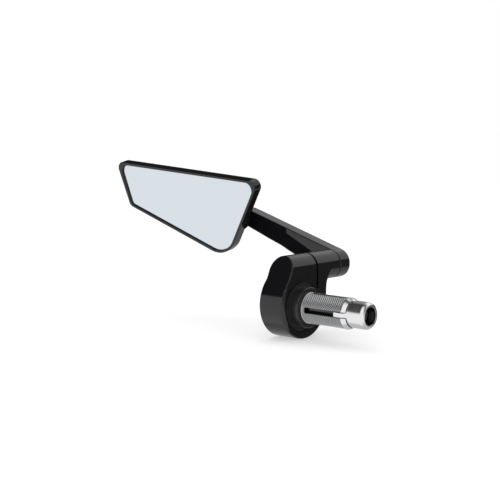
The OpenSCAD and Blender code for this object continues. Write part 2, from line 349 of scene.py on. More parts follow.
def prism(name: str, outlines: Sequence[tuple[Points, float]], along: int) -> Piece:
    """Skins flat outlines that stand one behind the other.

    Args:
        name: The piece's name.
        outlines: Each outline's points as rows, with its place along the axis.
        along: Number of that axis, 0 for X and 1 for Y.

    Returns:
        The closed skin.
    """
    rings = [np.insert(points, along, place, axis=1) for points, place in outlines]
    return loft(name, np.array(rings))


def pivot_place(pivot: Pair) -> Matrix:
    """Lays a piece that was turned about X along the pivot axis at (x, z)."""
    turn = Matrix.Rotation(math.pi / 2, 4, "Z")
    return Matrix.Translation(Vector((pivot[0], 0, pivot[1])) * MM) @ turn


def hexagon(name: str, flats: float, x0: float, x1: float) -> Piece:
    """A hexagonal rod along X, used as a cutter for key sockets."""
    r = flats / 2 / math.cos(math.pi / 6)
    return turned(name, np.array(((x0, r), (x1, r))), steps=6)


class Join(Enum):
    """What a boolean step does."""

    CUT = "DIFFERENCE"
    ADD = "UNION"


def joined(target: Piece, tool: Piece, how: Join) -> Piece:
    """Cuts a tool out of a piece or adds it, exactly, and uses the tool up."""
    step = target.modifiers.new("join", "BOOLEAN")
    step.operation = how.value
    step.solver = "EXACT"
    step.object = tool
    graph = bpy.context.evaluated_depsgraph_get()
    mesh = bpy.data.meshes.new_from_object(target.evaluated_get(graph))
    target.modifiers.clear()
    target.data = mesh
    bpy.data.objects.remove(tool)
    return target


def finished(obj: Piece, place: Matrix = Matrix.Identity(4)) -> Piece:
    """Puts a piece in its place and shades it smooth up to its true edges."""
    obj.data.transform(place)
    bm = bmesh.new()
    bm.from_mesh(obj.data)
    bmesh.ops.dissolve_degenerate(bm, edges=bm.edges, dist=WELD)
    for f in bm.faces:
        f.smooth = True
    for e in bm.edges:
        e.smooth = not (len(e.link_faces) == 2 and e.calc_face_angle(0) > SMOOTH_LIMIT)
    bm.to_mesh(obj.data)
    bm.free()
    shade = obj.modifiers.new("face_weighted_shading", "WEIGHTED_NORMAL")
    shade.keep_sharp = True
    return obj


# ---------------------------------------------------------------- finishes


def add_node(tree: Tree, kind: str, values: dict[str | int, Any], **options: Any) -> bpy.types.Node:
    """Adds a node to a tree.

    Args:
        tree: The tree.
        kind: The node's type.
        values: Its inputs by name or number, each a plain value or a socket to link.
        options: Its settings.

    Returns:
        The node.
    """
    made = tree.nodes.new(kind)
    for name, setting in options.items():
        setattr(made, name, setting)
    for key, value in values.items():
        if isinstance(value, Socket):
            tree.links.new(value, made.inputs[key])
        else:
            made.inputs[key].default_value = value
    return made


class Grain(Enum):
    """How the fine marks of a finish run."""

    EVEN = "even"
    TURNED = "turned"


@dataclass(frozen=True)
class Finish:
    """A surface finish with its fine marks.

    Attributes:
        name: Name of the finish.
        colour: Base colour, linear.
        metal: 1 for bare metal, 0 for coatings, polymers and rubber.
        rough: Mean roughness.
        spread: How far the roughness wanders to either side.
        mottle: How far the colour wanders, as a share of itself.
        scale: Marks per metre.
        bump: Strength of the marks in relief.
        grain: Direction of the marks.
        dark_below: Radii about the bar axis, in millimetres, between which the colour
            rises from a painted shade, for the knurl's valleys and the bores, to the full colour.
        painted_shade_share: Share of the colour that is left below those radii: the painted shade.
    """

    name: str
    colour: Place
    metal: float
    rough: float
    spread: float = 0.05
    mottle: float = 0.15
    scale: float = 1500.0
    bump: float = 0.02
    grain: Grain = Grain.EVEN
    # Painted shade: below these radii the colour is darkened, for knurl valleys and bores.
    dark_below: Pair = (0.0, 0.0)
    painted_shade_share: float = 0.1

    def _marks(self, tree: Tree) -> Socket:
        """Adds the coordinates that the marks follow."""
        place = add_node(tree, "ShaderNodeTexCoord", {}).outputs["Object"]
        if self.grain is Grain.EVEN:
            return place
        along = add_node(tree, "ShaderNodeSeparateXYZ", {"Vector": place}).outputs["X"]
        rings = add_node(tree, "ShaderNodeCombineXYZ", {"X": along, "Y": self._radius(tree)})
        return rings.outputs["Vector"]

    def _radius(self, tree: Tree) -> Socket:
        """Adds the distance from the bar axis."""
        place = add_node(tree, "ShaderNodeTexCoord", {}).outputs["Object"]
        across = {0: place, 1: (0.0, 1.0, 1.0)}
        flat = add_node(tree, "ShaderNodeVectorMath", across, operation="MULTIPLY").outputs["Vector"]
        return add_node(tree, "ShaderNodeVectorMath", {0: flat}, operation="LENGTH").outputs["Value"]

    def _painted_hollow_shade(self, tree: Tree, colour: Socket) -> Socket:
        """Adds painted shade below a radius to a colour: it darkens knurl valleys and bores."""
        low, high = (r * MM for r in self.dark_below)
        rise = {"Value": self._radius(tree), "From Min": low, "From Max": high, "To Min": self.painted_shade_share}
        unshaded_share = add_node(tree, "ShaderNodeMapRange", rise).outputs["Result"]
        scaled = add_node(tree, "ShaderNodeVectorMath", {0: colour, "Scale": unshaded_share}, operation="SCALE")
        return scaled.outputs["Vector"]

    def _tinted(self, tree: Tree, marks: Socket) -> Socket:
        """Adds the colour, a little darker and lighter along the marks."""
        tint = add_node(tree, "ShaderNodeMix", {0: marks}, data_type="RGBA")
        for name, share in (("A", 1 - self.mottle), ("B", 1 + self.mottle)):
            socket = next(s for s in tint.inputs if s.name == name and s.type == "RGBA")
            socket.default_value = (*(min(1.0, c * share) for c in self.colour), 1.0)
        return next(s for s in tint.outputs if s.type == "RGBA")

    def material(self) -> bpy.types.Material:
        """Builds the finish once and returns the same material afterwards."""
        made = bpy.data.materials.get(self.name)
        if made:
            return made
        made = bpy.data.materials.new(self.name)
        made.use_nodes = True
        tree = made.node_tree
        shader = tree.nodes["Principled BSDF"]
        shader.inputs["Metallic"].default_value = self.metal
        cloud = {"Vector": self._marks(tree), "Scale": self.scale}
        cloud |= {"Detail": MARK_DETAIL, "Roughness": MARK_ROUGHNESS}
        marks = add_node(tree, "ShaderNodeTexNoise", cloud).outputs["Fac"]
        colour = self._tinted(tree, marks)
        # Painted shade in the hollows near the bar axis.
        if self.dark_below[1] > 0:
            colour = self._painted_hollow_shade(tree, colour)
        low, high = max(0.0, self.rough - self.spread), self.rough + self.spread
        wander = add_node(tree, "ShaderNodeMapRange", {"Value": marks, "To Min": low, "To Max": high})
        lines = {"Strength": self.bump, "Distance": MARK_RELIEF, "Height": marks}
        relief = add_node(tree, "ShaderNodeBump", lines)
        tree.links.new(colour, shader.inputs["Base Color"])
        tree.links.new(wander.outputs["Result"], shader.inputs["Roughness"])
        tree.links.new(relief.outputs["Normal"], shader.inputs["Normal"])
        return made


BLACK_GLOSS = Finish("black_gloss_anodised", (0.006, 0.006, 0.007), 0, 0.08, 0.02, 0.3, 2500, 0.02)
COLLAR_BLACK = Finish(
    "black_turned_anodised", (0.014, 0.014, 0.015), 0, 0.26, 0.05, 0.25, 6000, 0.08, Grain.TURNED
)
KNURL_METAL = Finish(
    # Painted shade darkens the knurl's valleys and the sleeve's inside, below 8.12 to 8.38 mm.
    "knurled_aluminium", (0.74, 0.75, 0.76), 1, 0.22, 0.08, 0.15, 4000, 0.1, dark_below=(8.12, 8.38)
)
BRIGHT_METAL = Finish(
    "turned_bright_aluminium",
    (0.82, 0.82, 0.83),
    1,
    0.24,
    0.05,
    0.05,
    9000,
    0.12,
    Grain.TURNED,
    # Painted shade darkens the nose's bore, down to a fifth of the colour.
    dark_below=(4.86, 4.95),
    painted_shade_share=0.2,
)
BLACK_OXIDE = Finish(
    "black_oxide_steel", (0.2, 0.2, 0.205), 1, 0.3, 0.08, 0.25, 3000, 0.15, Grain.TURNED
)
ZINC = Finish("zinc_plate", (0.5, 0.52, 0.55), 1, 0.28, 0.07, 0.12, 2500, 0.05)
STUD_STEEL = Finish("ground_steel", (0.42, 0.43, 0.45), 1, 0.22, 0.05, 0.1, 3000, 0.05)
BRONZE = Finish("sintered_bronze", (0.42, 0.27, 0.12), 1, 0.42, 0.1, 0.3, 6000, 0.4)
SHELL_POLYMER = Finish("bearing_polymer", (0.03, 0.03, 0.032), 0, 0.42, 0.06, 0.2, 4000, 0.2)
CUP_POLYMER = Finish("natural_polymer", (0.62, 0.6, 0.53), 0, 0.45, 0.06, 0.1, 3000, 0.2)
WASHER_POLYMER = Finish("friction_polymer", (0.02, 0.02, 0.022), 0, 0.5, 0.08, 0.2, 4000, 0.3)
FOAM = Finish("adhesive_foam", (0.018, 0.018, 0.018), 0, 0.85, 0.1, 0.4, 2200, 0.9)
MIRROR = Finish("silvered_glass", (0.69, 0.745, 0.795), 1, 0.02, 0.012, 0.012, 60, 0.0)


def dress(piece: Piece, finish: Finish, body: str, slot: str, *stands_for: str) -> Piece:
    """Gives a piece its finish and ties it to the CAD.

    Args:
        piece: The piece.
        finish: Its finish.
        body: The CAD body that it moves with.
        slot: A material slot of the record; not used.
        stands_for: CAD nodes that it replaces.

    Returns:
        The same piece.
    """
    piece.data.materials.clear()
    piece.data.materials.append(finish.material())
    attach(piece, body)
    if stands_for:
        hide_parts(*stands_for)
    log.info("%s: %d faces, rides on %s", piece.name, len(piece.data.polygons), body)
    return piece


def repaint(node: str, finish: Finish) -> None:
    """Gives a CAD node that stays as it is a better finish."""
    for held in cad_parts[node].material_slots:
        held.material = finish.material()
    log.info("%s: CAD shape, finish %s", node, finish.name)


# ---------------------------------------------------------------- bar plug


@dataclass
class BarPlug:
    """Collar, slotted sleeve, cone and long screw on the handlebar axis.

    The thread's depth is a share of its pitch, and its form is the width of its crest and the
    steepness of its flank.
    """

    bar_r: float = 11.1
    sleeve_r: float = 8.5
    sleeve_len: float = 27.4
    sleeve_end: float = 29.4
    tip_r: float = 7.5
    tip_x: float = 29.1
    root_r: float = 7.0
    root_start: float = -8.0
    bore_r: float = 4.7
    taper_x: float = 20.6
    taper_lead: float = 2.0
    taper_r: Pair = (5.9, 7.3)
    slot_w: float = 3.3
    slot_start: float = 2.7
    knurl_pitch: float = 1.4
    knurl_depth: float = 0.4
    knurl_from: float = 0.8
    knurl_to: float = 27.1
    plain_edge: float = 0.1
    entry_chamfer: float = 0.45
    collar_r: float = 13.7
    groove_w: float = 0.45
    groove_depth: float = 1.4
    hub_span: Pair = (-21.4, -5.2)
    well_r: float = 7.1
    well_end: float = -12.2
    web_hole_r: float = 4.4
    cone_x: float = 22.4
    cone_gap: float = 0.35
    nose_r: float = 7.2
    nose_end: float = 40.4
    nose_bore_r: float = 4.85
    thread_end: float = 33.4
    key_w: float = 2.5
    key_r: float = 8.3
    key_top_end: float = 27.8
    key_end: float = 30.6
    key_bevel: float = 0.15
    key_sunk: float = 0.2
    nose_round: float = 2.1
    mouth_chamfer: float = 0.15
    screw_r: float = 3.96
    thread_gap: float = 0.04
    screw_end: float = 36.0
    screw_blunt: float = 0.85
    screw_pitch: float = 1.25
    thread_depth: float = 0.61
    thread_form: Pair = (1.15, 3.2)
    thread_run: Pair = (1.2, 0.9)
    thread_from: float = 3.5
    head_r: float = 6.4
    rib_depth: float = 0.12
    rib_count: int = 16
    socket_depth: float = 4.2
    head_span: Pair = (-21.0, -13.6)
    key_flats: float = 6.0

    def collar(self) -> Piece:
        """Turned core with the spacer ring that the bar end seats on."""
        back, front = self.hub_span
        path = eased_path(
            [
                (self.well_end, self.web_hole_r, 0),
                (self.well_end, self.well_r, 0.3),
                (back, self.well_r, 0.35),
                (back, self.collar_r - 0.5, 0.15),
                (back + 0.5, self.collar_r, 0.15),
                (front - self.groove_depth, self.collar_r, 0),
                (front - self.groove_depth, self.collar_r - self.groove_w, 0),
                (front, self.collar_r - self.groove_w, 0.08),
                (front, self.bar_r, 0.1),
                (-0.35, self.bar_r, 0.15),
                (0, self.bar_r - 0.35, 0.15),
                (0, self.root_r, 0),
                (self.root_start, self.root_r, 0),
                (self.root_start, self.web_hole_r, 0),
                (self.well_end, self.web_hole_r, 0),
            ]
        )
        return finished(turned("collar_core", path[:-1], 128, hollow=True))

    def _knurled_rod(self) -> Piece:
        """The sleeve's outside as a solid rod, with rows of sharp diamonds.

        The rings of the knurl stand half a pitch apart and have a point every half pitch,
        so each diamond is a peak with a low point on each of its four sides.
        """
        around = 2 * round(math.tau * self.sleeve_r / self.knurl_pitch)
        half = self.knurl_pitch / 2
        rows = math.floor((self.knurl_to - self.knurl_from) / half)
        number = np.arange(around)
        bevel = self.entry_chamfer
        before = eased_path(
            [
                (self.root_start, 0, 0),
                (self.root_start, self.root_r, 0),
                (0, self.root_r, 0),
                (0, self.sleeve_r - bevel, 0.1),
                (bevel, self.sleeve_r, 0.1),
                (self.knurl_from - self.plain_edge, self.sleeve_r, 0),
            ],
            3,
        )
        after = eased_path(
            [
                (self.knurl_from + rows * half + self.plain_edge, self.sleeve_r, 0),
                (self.sleeve_len, self.sleeve_r, 0.2),
                (self.tip_x, self.tip_r, 0.3),
                (self.sleeve_end, self.tip_r - self.plain_edge, 0),
                (self.sleeve_end, 0, 0),
            ],
            3,
        )
        stack = [(x, np.full(around, r)) for x, r in before]
        knurl = len(stack)
        for row in range(rows + 1):
            radii = self.sleeve_r - self.knurl_depth * ((number + row) % 2)
            stack.append((self.knurl_from + row * half, radii))
        stack += [(x, np.full(around, r)) for x, r in after]
        turn = number * math.tau / around
        points = np.vstack([bar_ring(x, r, turn) for x, r in stack])
        faces: list[list[int]] = [list(range(around)), list(range(len(points) - around, len(points)))]
        for i in range(len(stack) - 1):
            for j in range(around):
                k = (j + 1) % around
                p, q = i * around + j, i * around + k
                u, v = q + around, p + around
                if not knurl <= i < knurl + rows:
                    faces.append([p, q, u, v])
                elif (i - knurl + j) % 2:
                    faces += [[p, q, u], [p, u, v]]
                else:
                    faces += [[p, q, v], [q, u, v]]
        return piece_from("knurled_sleeve", points, faces)

    @property
    def taper_slope(self) -> float:
        """Rise of the taper in the sleeve's mouth, per millimetre."""
        return (self.taper_r[1] - self.taper_r[0]) / (self.sleeve_end - self.taper_x)

    def sleeve(self) -> Piece:
        """Expander sleeve: knurled, bored and tapered inside, slotted into four fingers."""
        body = self._knurled_rod()
        bore = eased_path(
            [
                (self.root_start - PAST, 0, 0),
                (self.root_start - PAST, self.bore_r, 0),
                (self.taper_x - self.taper_lead, self.bore_r, 0),
                (self.taper_x, self.taper_r[0], 0),
                (self.sleeve_end + PAST, self.taper_r[1] + self.taper_slope * PAST, 0),
                (self.sleeve_end + PAST, 0, 0),
            ]
        )
        joined(body, turned("bore", bore, 64), Join.CUT)
        wide, half = self.sleeve_r * 2, self.slot_w / 2
        for low, high in (((-half, -wide), (half, wide)), ((-wide, -half), (wide, half))):
            slot = block("slot", (self.slot_start, *low), (self.sleeve_end + PAST, *high))
            joined(body, slot, Join.CUT)
        return finished(body)

    def cone(self) -> Piece:
        """Cone nut with its turned nose and the four keys that run in the slots."""
        slope = self.taper_slope
        small = self.taper_r[0] - self.cone_gap
        first = small + (self.cone_x - self.taper_x) * slope
        meet = self.taper_x + (self.nose_r - small) / slope
        body = turned(
            "cone_nose",
            eased_path(
                [
                    (self.cone_x, 0, 0),
                    (self.cone_x, first, 0.2),
                    (meet, self.nose_r, 0.5),
                    (self.nose_end, self.nose_r, self.nose_round),
                    (self.nose_end, 0, 0),
                ],
                10,
            ),
            128,
        )
        side = np.array(
            [
                (self.cone_x, self.bore_r),
                (self.cone_x, self.key_r),
                (self.key_top_end, self.key_r),
                (self.key_end, self.nose_r - self.key_sunk),
                (self.key_end, self.bore_r),
            ]
        )
        inner = inset_corners(side, self.key_bevel)
        half = self.key_w / 2
        edge = half - self.key_bevel
        for turn in range(4):
            key = prism("key", ((inner, -half), (side, -edge), (side, edge), (inner, half)), 1)
            key.data.transform(Matrix.Rotation(turn * math.pi / 2, 4, "X"))
            joined(body, key, Join.ADD)
        past, thread_r = 0.1, self.screw_r + self.thread_gap
        bore = np.array(
            [
                (self.cone_x - PAST, 0),
                (self.cone_x - PAST, thread_r),
                (self.thread_end, thread_r),
                (self.thread_end, self.nose_bore_r),
                (self.nose_end - self.mouth_chamfer, self.nose_bore_r),
                (self.nose_end + past, self.nose_bore_r + self.mouth_chamfer + past),
                (self.nose_end + past, 0),
            ]
        )
        joined(body, turned("bore", bore, 96), Join.CUT)
        return finished(body)

    def screw(self) -> Piece:
        """Long cap screw: ribbed head with a hexagon socket, plain shank and cut thread."""
        (back, seat), r = self.head_span, self.head_r
        steps = 64
        a = np.arange(steps) * math.tau / steps
        ribs = self.rib_depth * (0.5 - 0.5 * np.cos(a * self.rib_count))
        rows: list[tuple[float, float | np.ndarray]] = [
            (back, 0.0),
            (back, r - 0.8),
            (back + 0.25, r - 0.35),
            (back + 0.6, r - self.rib_depth),
            (back + 0.9, r - ribs),
            (seat - 1.2, r - ribs),
            (seat - 0.9, r - 0.1),
            (seat, r - 0.1),
            (seat, self.screw_r),
            (self.thread_from - 0.6, self.screw_r),
        ]
        minor = self.thread_depth * self.screw_pitch
        end = self.screw_end
        (crest, flank), (run_in, run_out) = self.thread_form, self.thread_run
        for x in np.arange(self.thread_from, end + 1e-6, self.screw_pitch / 8):
            phase = np.mod(x / self.screw_pitch - a / math.tau, 1.0)
            groove = np.clip(crest - np.abs(phase - 0.5) * flank, 0, 1)
            lead = min(1.0, (x - self.thread_from) / run_in, (end - x) / run_out + run_out)
            blunt = max(0.0, self.screw_blunt - (end - x))
            rows.append((x, np.minimum(self.screw_r - minor * groove * lead, self.screw_r - blunt)))
        rows.append((end, 0.0))
        body = loft("plug_screw", np.array([bar_ring(x, radii, a) for x, radii in rows]))
        socket = hexagon("socket", self.key_flats, back - PAST, back + self.socket_depth)
        joined(body, socket, Join.CUT)
        return finished(body)

    def build(self) -> None:
        """Builds and dresses the whole plug."""
        dress(self.collar(), COLLAR_BLACK, "plug", "black_collar", "bar_collar")
        sleeve = dress(self.sleeve(), KNURL_METAL, "plug", "knurled_steel", "expander_sleeve")
        sleeve.data.materials.append(BRIGHT_METAL.material())
        for face in sleeve.data.polygons:
            face.material_index = int(face.center.x > self.knurl_to * MM)
        dress(self.cone(), BRIGHT_METAL, "cone", "turned_bright", "expander_cone")
        dress(self.screw(), BLACK_OXIDE, "screw", "black_oxide", "expander_screw")
        repaint("screw_washer", ZINC)


# ---------------------------------------------------------------- hub


@dataclass
class SplitHub:
    """Split clamp hub with the half-round boss that carries the arm."""

    span: Pair = (-21.4, -5.2)
    pivot: Pair = (-13.3, 19.6)
    boss_r: float = 8.1
    boss_y: float = 33.4
    lobe: Pair = (2.0, 1.2)
    lobe_r: float = 19.1
    lean: Pair = (0.4005, 0.9163)
    lean_point: Pair = (-9.2, 19.45)
    left_fillet: float = 10.0
    neck: Pair = (34.6, 7.7)
    neck_r: float = 13.5
    bore_r: float = 13.75
    slit_y: float = 12.9
    slit_w: float = 1.5
    slit_z: float = 9.3
    bolt_r: float = 3.0
    bolt_clear_r: float = 3.4
    bolt_start: float = -2.0
    edge: float = 0.5
    boss_edge: float = 0.35
    lobe_bevel: Pair = (0.75, 2.3)
    bevel_z: Pair = (-15.0, 14.0)
    bevel_fade: float = 8.0
    bore_chamfer: float = 0.12
    cell: float = 0.34

    def _outline(self) -> Outline:
        """Side outline as (y, z), open above the boss."""
        lean, point = np.array(self.lean), np.array(self.lean_point)
        lobe = np.array(self.lobe)
        out = np.array((-lean[1], lean[0]))
        w = point + self.left_fillet * out - lobe
        reach = self.lobe_r + self.left_fillet
        s = -w @ lean + math.sqrt((w @ lean) ** 2 - w @ w + reach**2)
        fillet = point + s * lean + self.left_fillet * out
        to_lobe = lobe - fillet
        a_edge = math.degrees(math.atan2(-out[1], -out[0]))
        a_lobe = math.degrees(math.atan2(to_lobe[1], to_lobe[0]))
        a_edge = a_lobe + math.remainder(a_edge - a_lobe, 360)
        top = 2 * self.pivot[1]
        neck_a = math.degrees(math.acos((self.boss_y - self.neck[0]) / self.neck_r))
        return Outline(
            np.vstack(
                [
                    point + lean * (top - point[1]) / lean[1],
                    arc(fillet, self.left_fillet, a_edge, a_lobe, 12),
                    arc(lobe, self.lobe_r, a_lobe + 180, 360, 64)[1:],
                    arc(self.neck, self.neck_r, 180, neck_a, 24),
                    (self.boss_y, top),
                ]
            )
        )

    def body(self) -> Piece:
        """The hub with rounded edges, bored and slit."""
        outline = self._outline()
        px, pz = self.pivot
        deep, wide = self.lobe_bevel
        slope = unit((wide, deep))
        (low_z, high_z), fade = self.bevel_z, self.bevel_fade

        def solid(x: np.ndarray, y: np.ndarray, z: np.ndarray) -> np.ndarray:
            """Distance field of the hub; its bevel grows down the outboard side of the lobe."""
            side = outline.distance(y, z)
            grow = np.clip((high_z - z) / fade, 0, 1) * np.clip((z - low_z) / fade, 0, 1)
            grow = grow * np.clip(-y / fade, 0, 1)
            bevel = slope[0] * (x - self.span[1]) + slope[1] * (side + wide * grow)
            round_top = np.hypot(x - px, np.maximum(z - pz, 0)) - self.boss_r
            slab = np.maximum(eased_both(side, round_top, self.edge), bevel)
            rho = np.hypot(x - px, z - pz)
            ends = np.abs(y - (self.boss_y + self.slit_y) / 2) - (self.boss_y - self.slit_y) / 2
            boss = eased_both(rho - self.boss_r, ends, self.boss_edge)
            return np.minimum(slab, boss)

        margin = 1.5 * self.cell
        back, front = self.span
        reach = self.lobe_r + margin
        low = (back - margin, self.lobe[0] - reach, self.lobe[1] - reach)
        high = (front + margin, self.boss_y + margin, pz + self.boss_r + margin)
        points, faces = NetGrid(low, high, self.cell).surface(solid)
        hub = piece_from("split_hub", points, faces)
        holes = self._hole(self.bolt_r, self.bolt_start), self._hole(self.bolt_clear_r, self.slit_y)
        for tool in (self._bore(), *holes, self._slit()):
            joined(hub, tool, Join.CUT)
        return finished(hub)

    def _bore(self) -> Piece:
        """Cutter for the bore that turns on the collar, with a fine chamfer at each end."""
        (back, front), r, c = self.span, self.bore_r, self.bore_chamfer
        path = [(back - PAST, 0), (back - PAST, r + c), (back, r + c), (back + c, r)]
        path += [(front - c, r), (front, r + c), (front + PAST, r + c), (front + PAST, 0)]
        return turned("bore", np.array(path), 144)

    def _hole(self, radius: float, start: float) -> Piece:
        """Cutter for the bolt's hole, from a place on the pivot axis outward."""
        end = self.boss_y + PAST
        hole = turned("hole", np.array([(start, 0), (start, radius), (end, radius), (end, 0)]), 64)
        hole.data.transform(pivot_place(self.pivot))
        return hole

    def _slit(self) -> Piece:
        """Cutter for the saw slit, round at its closed end."""
        half = self.slit_w / 2
        top = self.pivot[1] + 2 * self.boss_r
        path = np.vstack(
            (
                arc((self.slit_y, self.slit_z), half, 180, 360, 10),
                (self.slit_y + half, top),
                (self.slit_y - half, top),
            )
        )
        return prism("slit", ((path, self.span[0] - PAST), (path, self.span[1] + PAST)), 0)

    def build(self) -> None:
        """Builds and dresses the hub and what is bolted to it."""
        dress(self.body(), BLACK_GLOSS, "hub", "black_anodised", "hub_body")
        dress(PivotBolt().body(), BLACK_OXIDE, "hub", "black_oxide", "pivot_bolt")
        repaint("bolt_washer", ZINC)
        repaint("friction_washer", WASHER_POLYMER)


@dataclass
class PivotBolt:
    """Clamp bolt on the arm's pivot axis."""

    pivot: Pair = (-13.3, 19.6)
    shank_r: float = 3.0
    span: Pair = (-2.0, 42.35)
    seat: float = 39.45
    head_r: float = 5.0
    tip_chamfer: float = 0.6
    rim_height: float = 1.5
    dome_inset: float = 1.4
    socket_floor: float = 0.6
    flats: float = 4.0

    def body(self) -> Piece:
        """Bolt with a low domed head and a hexagon socket."""
        start, end = self.span
        path = eased_path(
            [
                (start, 0, 0),
                (start, self.shank_r - self.tip_chamfer, 0),
                (start + self.tip_chamfer, self.shank_r, 0),
                (self.seat, self.shank_r, 0),
                (self.seat, self.head_r, 0.2),
                (self.seat + self.rim_height, self.head_r, 0.8),
                (end, self.head_r - self.dome_inset, 0.5),
                (end, 0, 0),
            ]
        )
        bolt = turned("clamp_bolt", path, 72)
        socket = hexagon("socket", self.flats, self.seat + self.socket_floor, end + PAST)
        joined(bolt, socket, Join.CUT)
        return finished(bolt, pivot_place(self.pivot))


# ---------------------------------------------------------------- arm


@dataclass
class Arm:
    """Flat arm from the hub's boss to the ball joint."""

    pivot: Pair = (-13.3, 19.6)
    knuckle_r: float = 8.1
    ball: Place = (-77.6, 27.6, 42.4)
    tip_r: float = 5.0
    knee: Pair = (-49.6, 27.2)
    faces: Pair = (33.8, 42.6)
    edge: float = 0.55
    bush_r: float = 4.5
    well_r: float = 5.7
    well_y: float = 38.5
    stud_r: float = 2.5
    stud_end: float = 13.6
    facet: float = 2.4
    facet_end: float = 3.3
    facet_lift: float = 0.4
    hole_ease: float = 0.25
    cell: float = 0.42

    def _outline(self) -> Outline:
        """Side outline as (x, z)."""
        hub, knee = np.array(self.pivot), np.array(self.knee)
        tip = np.array((self.ball[0], self.ball[2]))

        def tangent(a: Points, ra: float, b: Points, rb: float, side: int) -> float:
            """Angle at which the outer tangent of two circles touches them."""
            d = b - a
            turn = math.degrees(math.acos((ra - rb) / float(np.linalg.norm(d))))
            return math.degrees(math.atan2(d[1], d[0])) + side * turn

        top = tangent(hub, self.knuckle_r, tip, self.tip_r, -1)
        low = tangent(hub, self.knuckle_r, knee, 0, 1) - 360
        end = tangent(tip, self.tip_r, knee, 0, -1) + 360
        return Outline(
            np.vstack(
                [
                    arc(hub, self.knuckle_r, low, top, 40),
                    arc(tip, self.tip_r, top, end, 30),
                    knee,
                ]
            )
        )

    def body(self) -> Piece:
        """The arm with eased edges and a facet that grows from the knee to the knuckle."""
        outline = self._outline()
        front, back = self.faces
        px, pz = self.pivot
        bx, by, bz = self.ball
        under = pz - self.knuckle_r
        a = np.array((self.knee[0], front, self.knee[1]))
        b = np.array((px - self.facet_end, front, under + self.facet + self.facet_lift))
        c = np.array((px - self.facet_end, front + self.facet, under + self.facet_lift))
        normal = unit(np.cross(b - a, c - a))
        if normal[1] > 0:
            normal = -normal

        def solid(x: np.ndarray, y: np.ndarray, z: np.ndarray) -> np.ndarray:
            """Distance field of the arm."""
            across = np.abs(y - (front + back) / 2) - (back - front) / 2
            plate = eased_both(outline.distance(x, z), across, self.edge)
            rho = np.hypot(x - px, z - pz)
            facet = (x - a[0]) * normal[0] + (y - a[1]) * normal[1] + (z - a[2]) * normal[2]
            plate = np.maximum(plate, np.minimum(facet, rho - self.knuckle_r - self.facet_lift))
            well = np.maximum(rho - self.well_r, self.well_y - y)
            hole = np.minimum(rho - self.bush_r, well)
            stud = np.maximum(np.hypot(x - bx, z - bz) - self.stud_r, y - by - self.stud_end)
            return np.maximum(eased_both(plate, -hole, self.hole_ease), -stud)

        margin = 1.5 * self.cell
        low = (bx - self.tip_r - margin, front - margin, under - margin)
        high = (px + self.knuckle_r + margin, back + margin, bz + self.tip_r + margin)
        points, faces = NetGrid(low, high, self.cell).surface(solid)
        return finished(piece_from("pivot_arm", points, faces))

    def build(self) -> None:
        """Builds and dresses the arm and what it carries."""
        dress(self.body(), BLACK_GLOSS, "arm", "black_anodised", "arm")
        repaint("pivot_bush", BRONZE)
        repaint("ball_stud", STUD_STEEL)
        repaint("stud_washer", ZINC)
        repaint("rear_shell", SHELL_POLYMER)
        repaint("front_shell", SHELL_POLYMER)


# ---------------------------------------------------------------- mirror head


